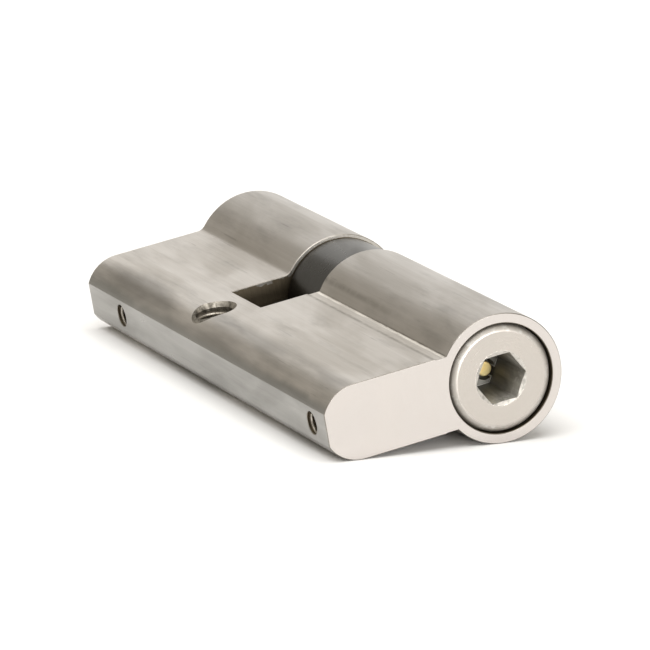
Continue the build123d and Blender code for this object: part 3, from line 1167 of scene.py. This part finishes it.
    def build(self, wardrobe: dict[str, bpy.types.Material], effects: Effects, frame: dict) -> None:
        """Dresses the plug and what turns with it.

        Args:
            wardrobe: Plain finishes by name.
            effects: The shared groups.
            frame: The loaded model.
        """
        name = self.end.value
        dress(f"plug_{name}", self.material(effects), frame)
        dress(f"socket_disc_{name}", self.floor_material(effects), frame)
        for piece, finish in (
            ("circlip", SPRING),
            ("return_spring", SPRING),
            ("push_rod", BRASS),
            ("coupler", GROUND),
        ):
            dress(f"{piece}_{name}", wardrobe[finish.name], frame)


@dataclass(frozen=True)
class DragPins:
    """The sprung pins and grub screws in the leg."""

    def build(self, wardrobe: dict[str, bpy.types.Material], frame: dict) -> None:
        """Dresses both sets.

        Args:
            wardrobe: Plain finishes by name.
            frame: The loaded model.
        """
        for end in End:
            for piece, finish in (
                ("drag_pin", GROUND),
                ("drag_spring", SPRING),
                ("grub_screw", BRIGHT),
            ):
                dress(f"{piece}_{end.value}", wardrobe[finish.name], frame)


# ---- Studio ----


@dataclass(frozen=True)
class Softbox:
    """A square area light that points at the middle of the cam.

    Attributes:
        name: Its name.
        place: Where it hangs, in metres.
        size: Side, in metres.
        power: Watts.
    """

    name: str
    place: Triple
    size: float
    power: float

    def hang(self) -> None:
        """Adds the light to the scene."""
        data = bpy.data.lights.new(self.name, "AREA")
        data.size = self.size
        data.energy = self.power
        lamp = bpy.data.objects.new(self.name, data)
        lamp.rotation_euler = Vector(self.place).to_track_quat("Z", "Y").to_euler()
        lamp.location = self.place
        bpy.context.scene.collection.objects.link(lamp)


@dataclass(frozen=True)
class Studio:
    """Camera, floor, lights and surroundings.

    Attributes:
        camera_place: Where the camera stands.
        camera_right: The way its right side points.
        camera_back: The way its back points.
        lens: Focal length.
        sensor: Width of the camera's sensor.
        clip: Nearest and farthest distance that the camera sees, in metres.
        rest_angle: How far the cylinder leans on its barrel and leg, in degrees.
        barrel_radius: Radius that touches the floor.
        floor_half: Half the floor's side, in metres.
        floor_colour: Its colour.
        floor_rough: Its roughness.
        surround: Colour of the surroundings.
        boxes: The lights.
    """

    camera_place: Triple = (743.68, -290.71, 247.34)
    camera_right: Triple = (0.4015, 0.90078, -0.16553)
    camera_back: Triple = (0.891, -0.34235, 0.29818)
    lens: float = 348.6
    sensor: float = 36.0
    clip: tuple[float, float] = (0.01, 20.0)
    rest_angle: float = 10.08
    barrel_radius: float = 8.5
    floor_half: float = 6.0
    floor_colour: Colour = (0.92, 0.92, 0.92)
    floor_rough: float = 0.9
    surround: Colour = (0.49, 0.46, 0.405)
    boxes: tuple[Softbox, ...] = (
        Softbox("overhead", (0.15, -0.05, 1.1), size=1.3, power=13.5),
        Softbox("front", (0.98, 0.12, 0.08), size=0.22, power=4.6),
        Softbox("front_high", (0.95, 0.40, 0.47), size=0.5, power=1.3),
        Softbox("far_right", (-0.89, 0.40, 0.25), size=0.8, power=1.42),
    )

    def set_camera(self) -> None:
        """Adds the camera."""
        data = bpy.data.cameras.new("camera")
        data.lens = self.lens
        data.sensor_width = self.sensor
        data.clip_start, data.clip_end = self.clip
        camera = bpy.data.objects.new("camera", data)
        right = Vector(self.camera_right).normalized()
        back = Vector(self.camera_back).normalized()
        up = back.cross(right).normalized()
        turn = Matrix((right, up, back)).transposed().to_4x4()
        camera.matrix_world = Matrix.Translation(Vector(self.camera_place) * MM) @ turn
        bpy.context.scene.collection.objects.link(camera)
        bpy.context.scene.camera = camera

    def lay_floor(self) -> None:
        """Lays a plain pale floor under the barrel and the leg, where the cylinder would lie."""
        mesh = bmesh.new()
        bmesh.ops.create_grid(mesh, x_segments=1, y_segments=1, size=self.floor_half)
        lean = Matrix.Rotation(-math.radians(self.rest_angle), 4, "X")
        drop = Matrix.Translation((0.0, 0.0, -self.barrel_radius * MM))
        bmesh.ops.transform(mesh, matrix=lean @ drop, verts=mesh.verts)
        data = bpy.data.meshes.new("floor")
        mesh.to_mesh(data)
        mesh.free()
        floor = bpy.data.objects.new("floor", data)
        bpy.context.scene.collection.objects.link(floor)
        material, _, shader = new_metal("pale_floor")
        shader.inputs["Metallic"].default_value = 0.0
        shader.inputs["Base Color"].default_value = (*self.floor_colour, 1.0)
        shader.inputs["Roughness"].default_value = self.floor_rough
        shader.inputs["Specular IOR Level"].default_value = 0.0
        data.materials.append(material)

    def light(self) -> None:
        """Hangs the lights and sets the surroundings."""
        world = bpy.data.worlds.new("studio")
        world.use_nodes = True
        background = world.node_tree.nodes["Background"]
        background.inputs["Color"].default_value = (*self.surround, 1.0)
        bpy.context.scene.world = world
        for box in self.boxes:
            box.hang()
        bpy.context.scene.view_settings.view_transform = "Standard"

    def build(self) -> None:
        """Sets up everything round the cylinder."""
        self.set_camera()
        self.lay_floor()
        self.light()


def main() -> None:
    """Loads the model, dresses it, cuts its threads and sets the studio."""
    logging.basicConfig(level=logging.INFO, format="%(message)s")
    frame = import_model()
    Studio().build()
    effects = Effects()
    wardrobe = {
        finish.name: finish.material(effects) for finish in (SPRING, BRASS, GROUND, BRIGHT, CAM)
    }
    Housing().build(effects, frame)
    dress("cam", wardrobe[CAM.name], frame)
    dress("coupler_ball", wardrobe[BRIGHT.name], frame)
    Plug(End.FRONT, face=45.0).build(wardrobe, effects, frame)
    Plug(End.BACK, face=35.0).build(wardrobe, effects, frame)
    DragPins().build(wardrobe, frame)


if __name__ == "__main__":
    main()
